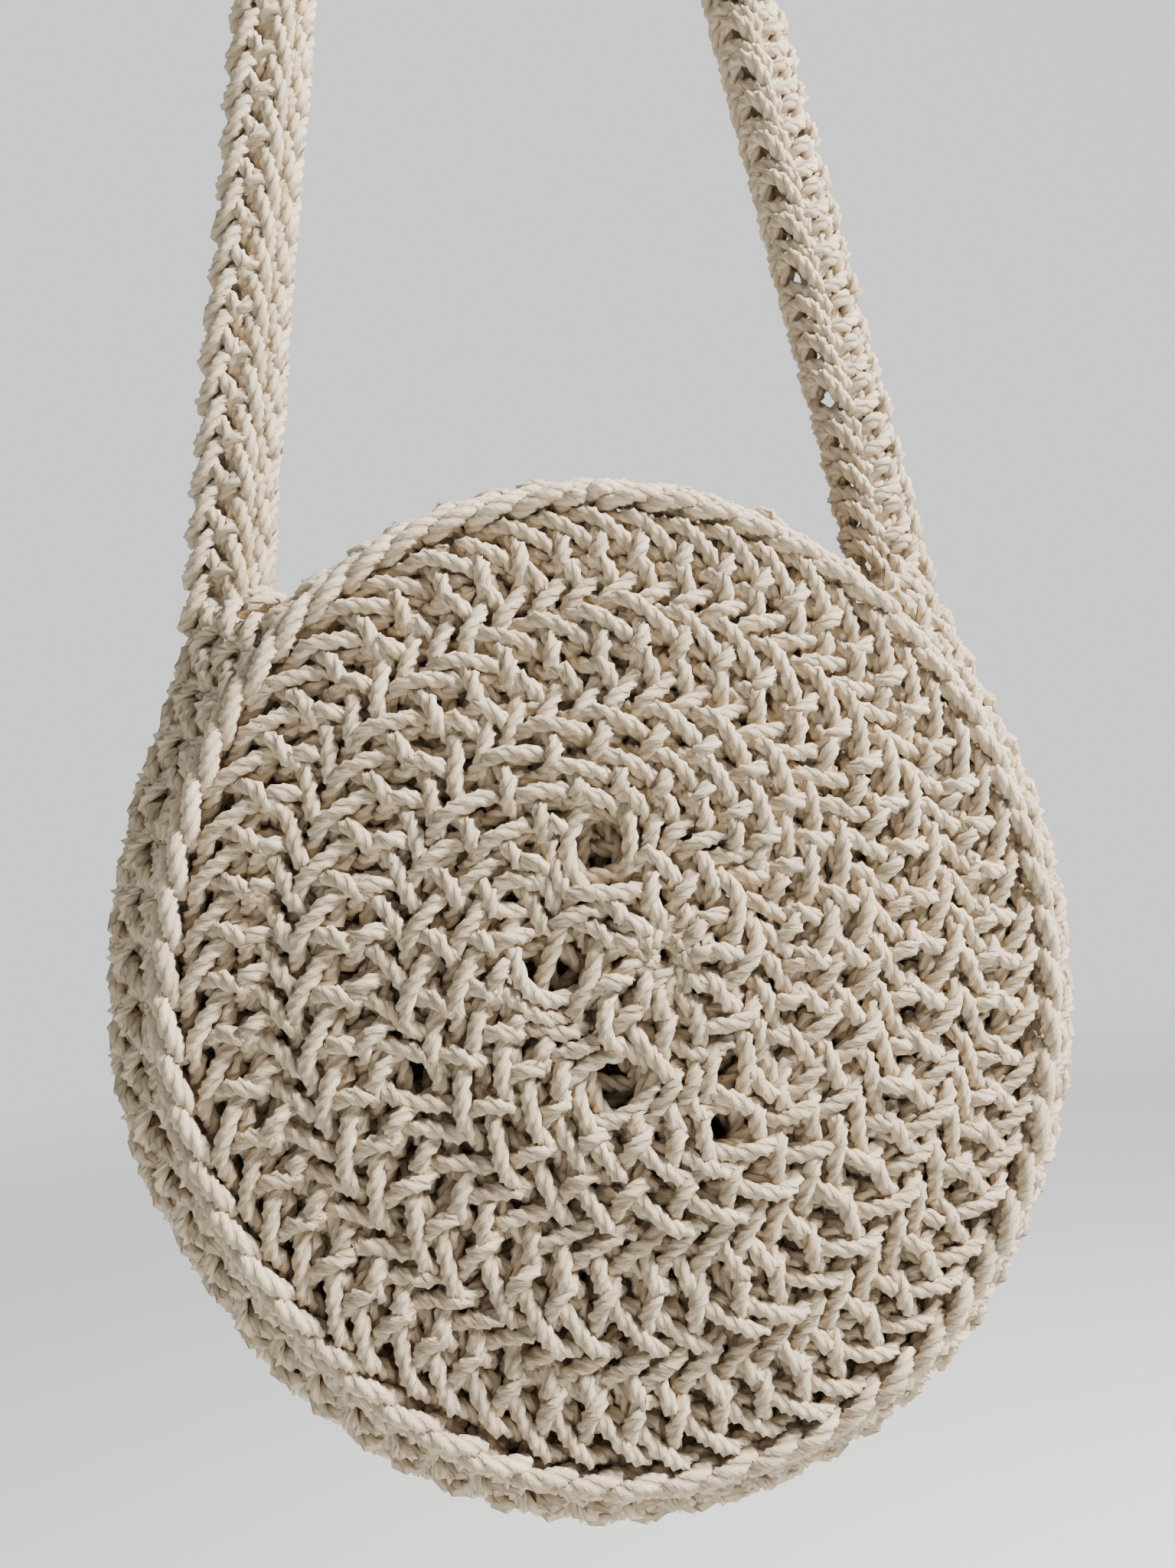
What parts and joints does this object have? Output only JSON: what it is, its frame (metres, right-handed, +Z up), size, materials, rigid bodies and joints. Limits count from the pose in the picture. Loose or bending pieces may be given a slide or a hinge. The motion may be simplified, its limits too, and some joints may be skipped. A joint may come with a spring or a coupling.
{
  "type": "round crocheted shoulder bag",
  "caption": "Round crocheted handbag of thick cotton cord: domed front and back, bowed gusset, braided edges, open mouth on top and a long flat strap that it hangs by.",
  "frame": {"origin": "hang point: top of the strap's loop on its inner side, where a peg carries it", "axes": "+Z up, -Y towards the front face, +X to the right as seen from the front"},
  "size_m": [0.2772, 0.0807, 0.8157],
  "materials": {
    "face_cord": "undyed twisted cotton cord, crocheted, matt",
    "gusset_cord": "undyed twisted cotton cord, crocheted in short stitches, matt",
    "braid_cord": "undyed twisted cotton cord, chain of linked loops, matt",
    "strap_cord": "undyed twisted cotton cord, crocheted lengthwise, matt"
  },
  "bodies": {
    "root": {"front_panel": "face_cord", "back_panel": "face_cord", "gusset": "gusset_cord", "front_edge_braid": "braid_cord", "back_edge_braid": "braid_cord", "strap": "strap_cord"}
  },
  "joints": []
}
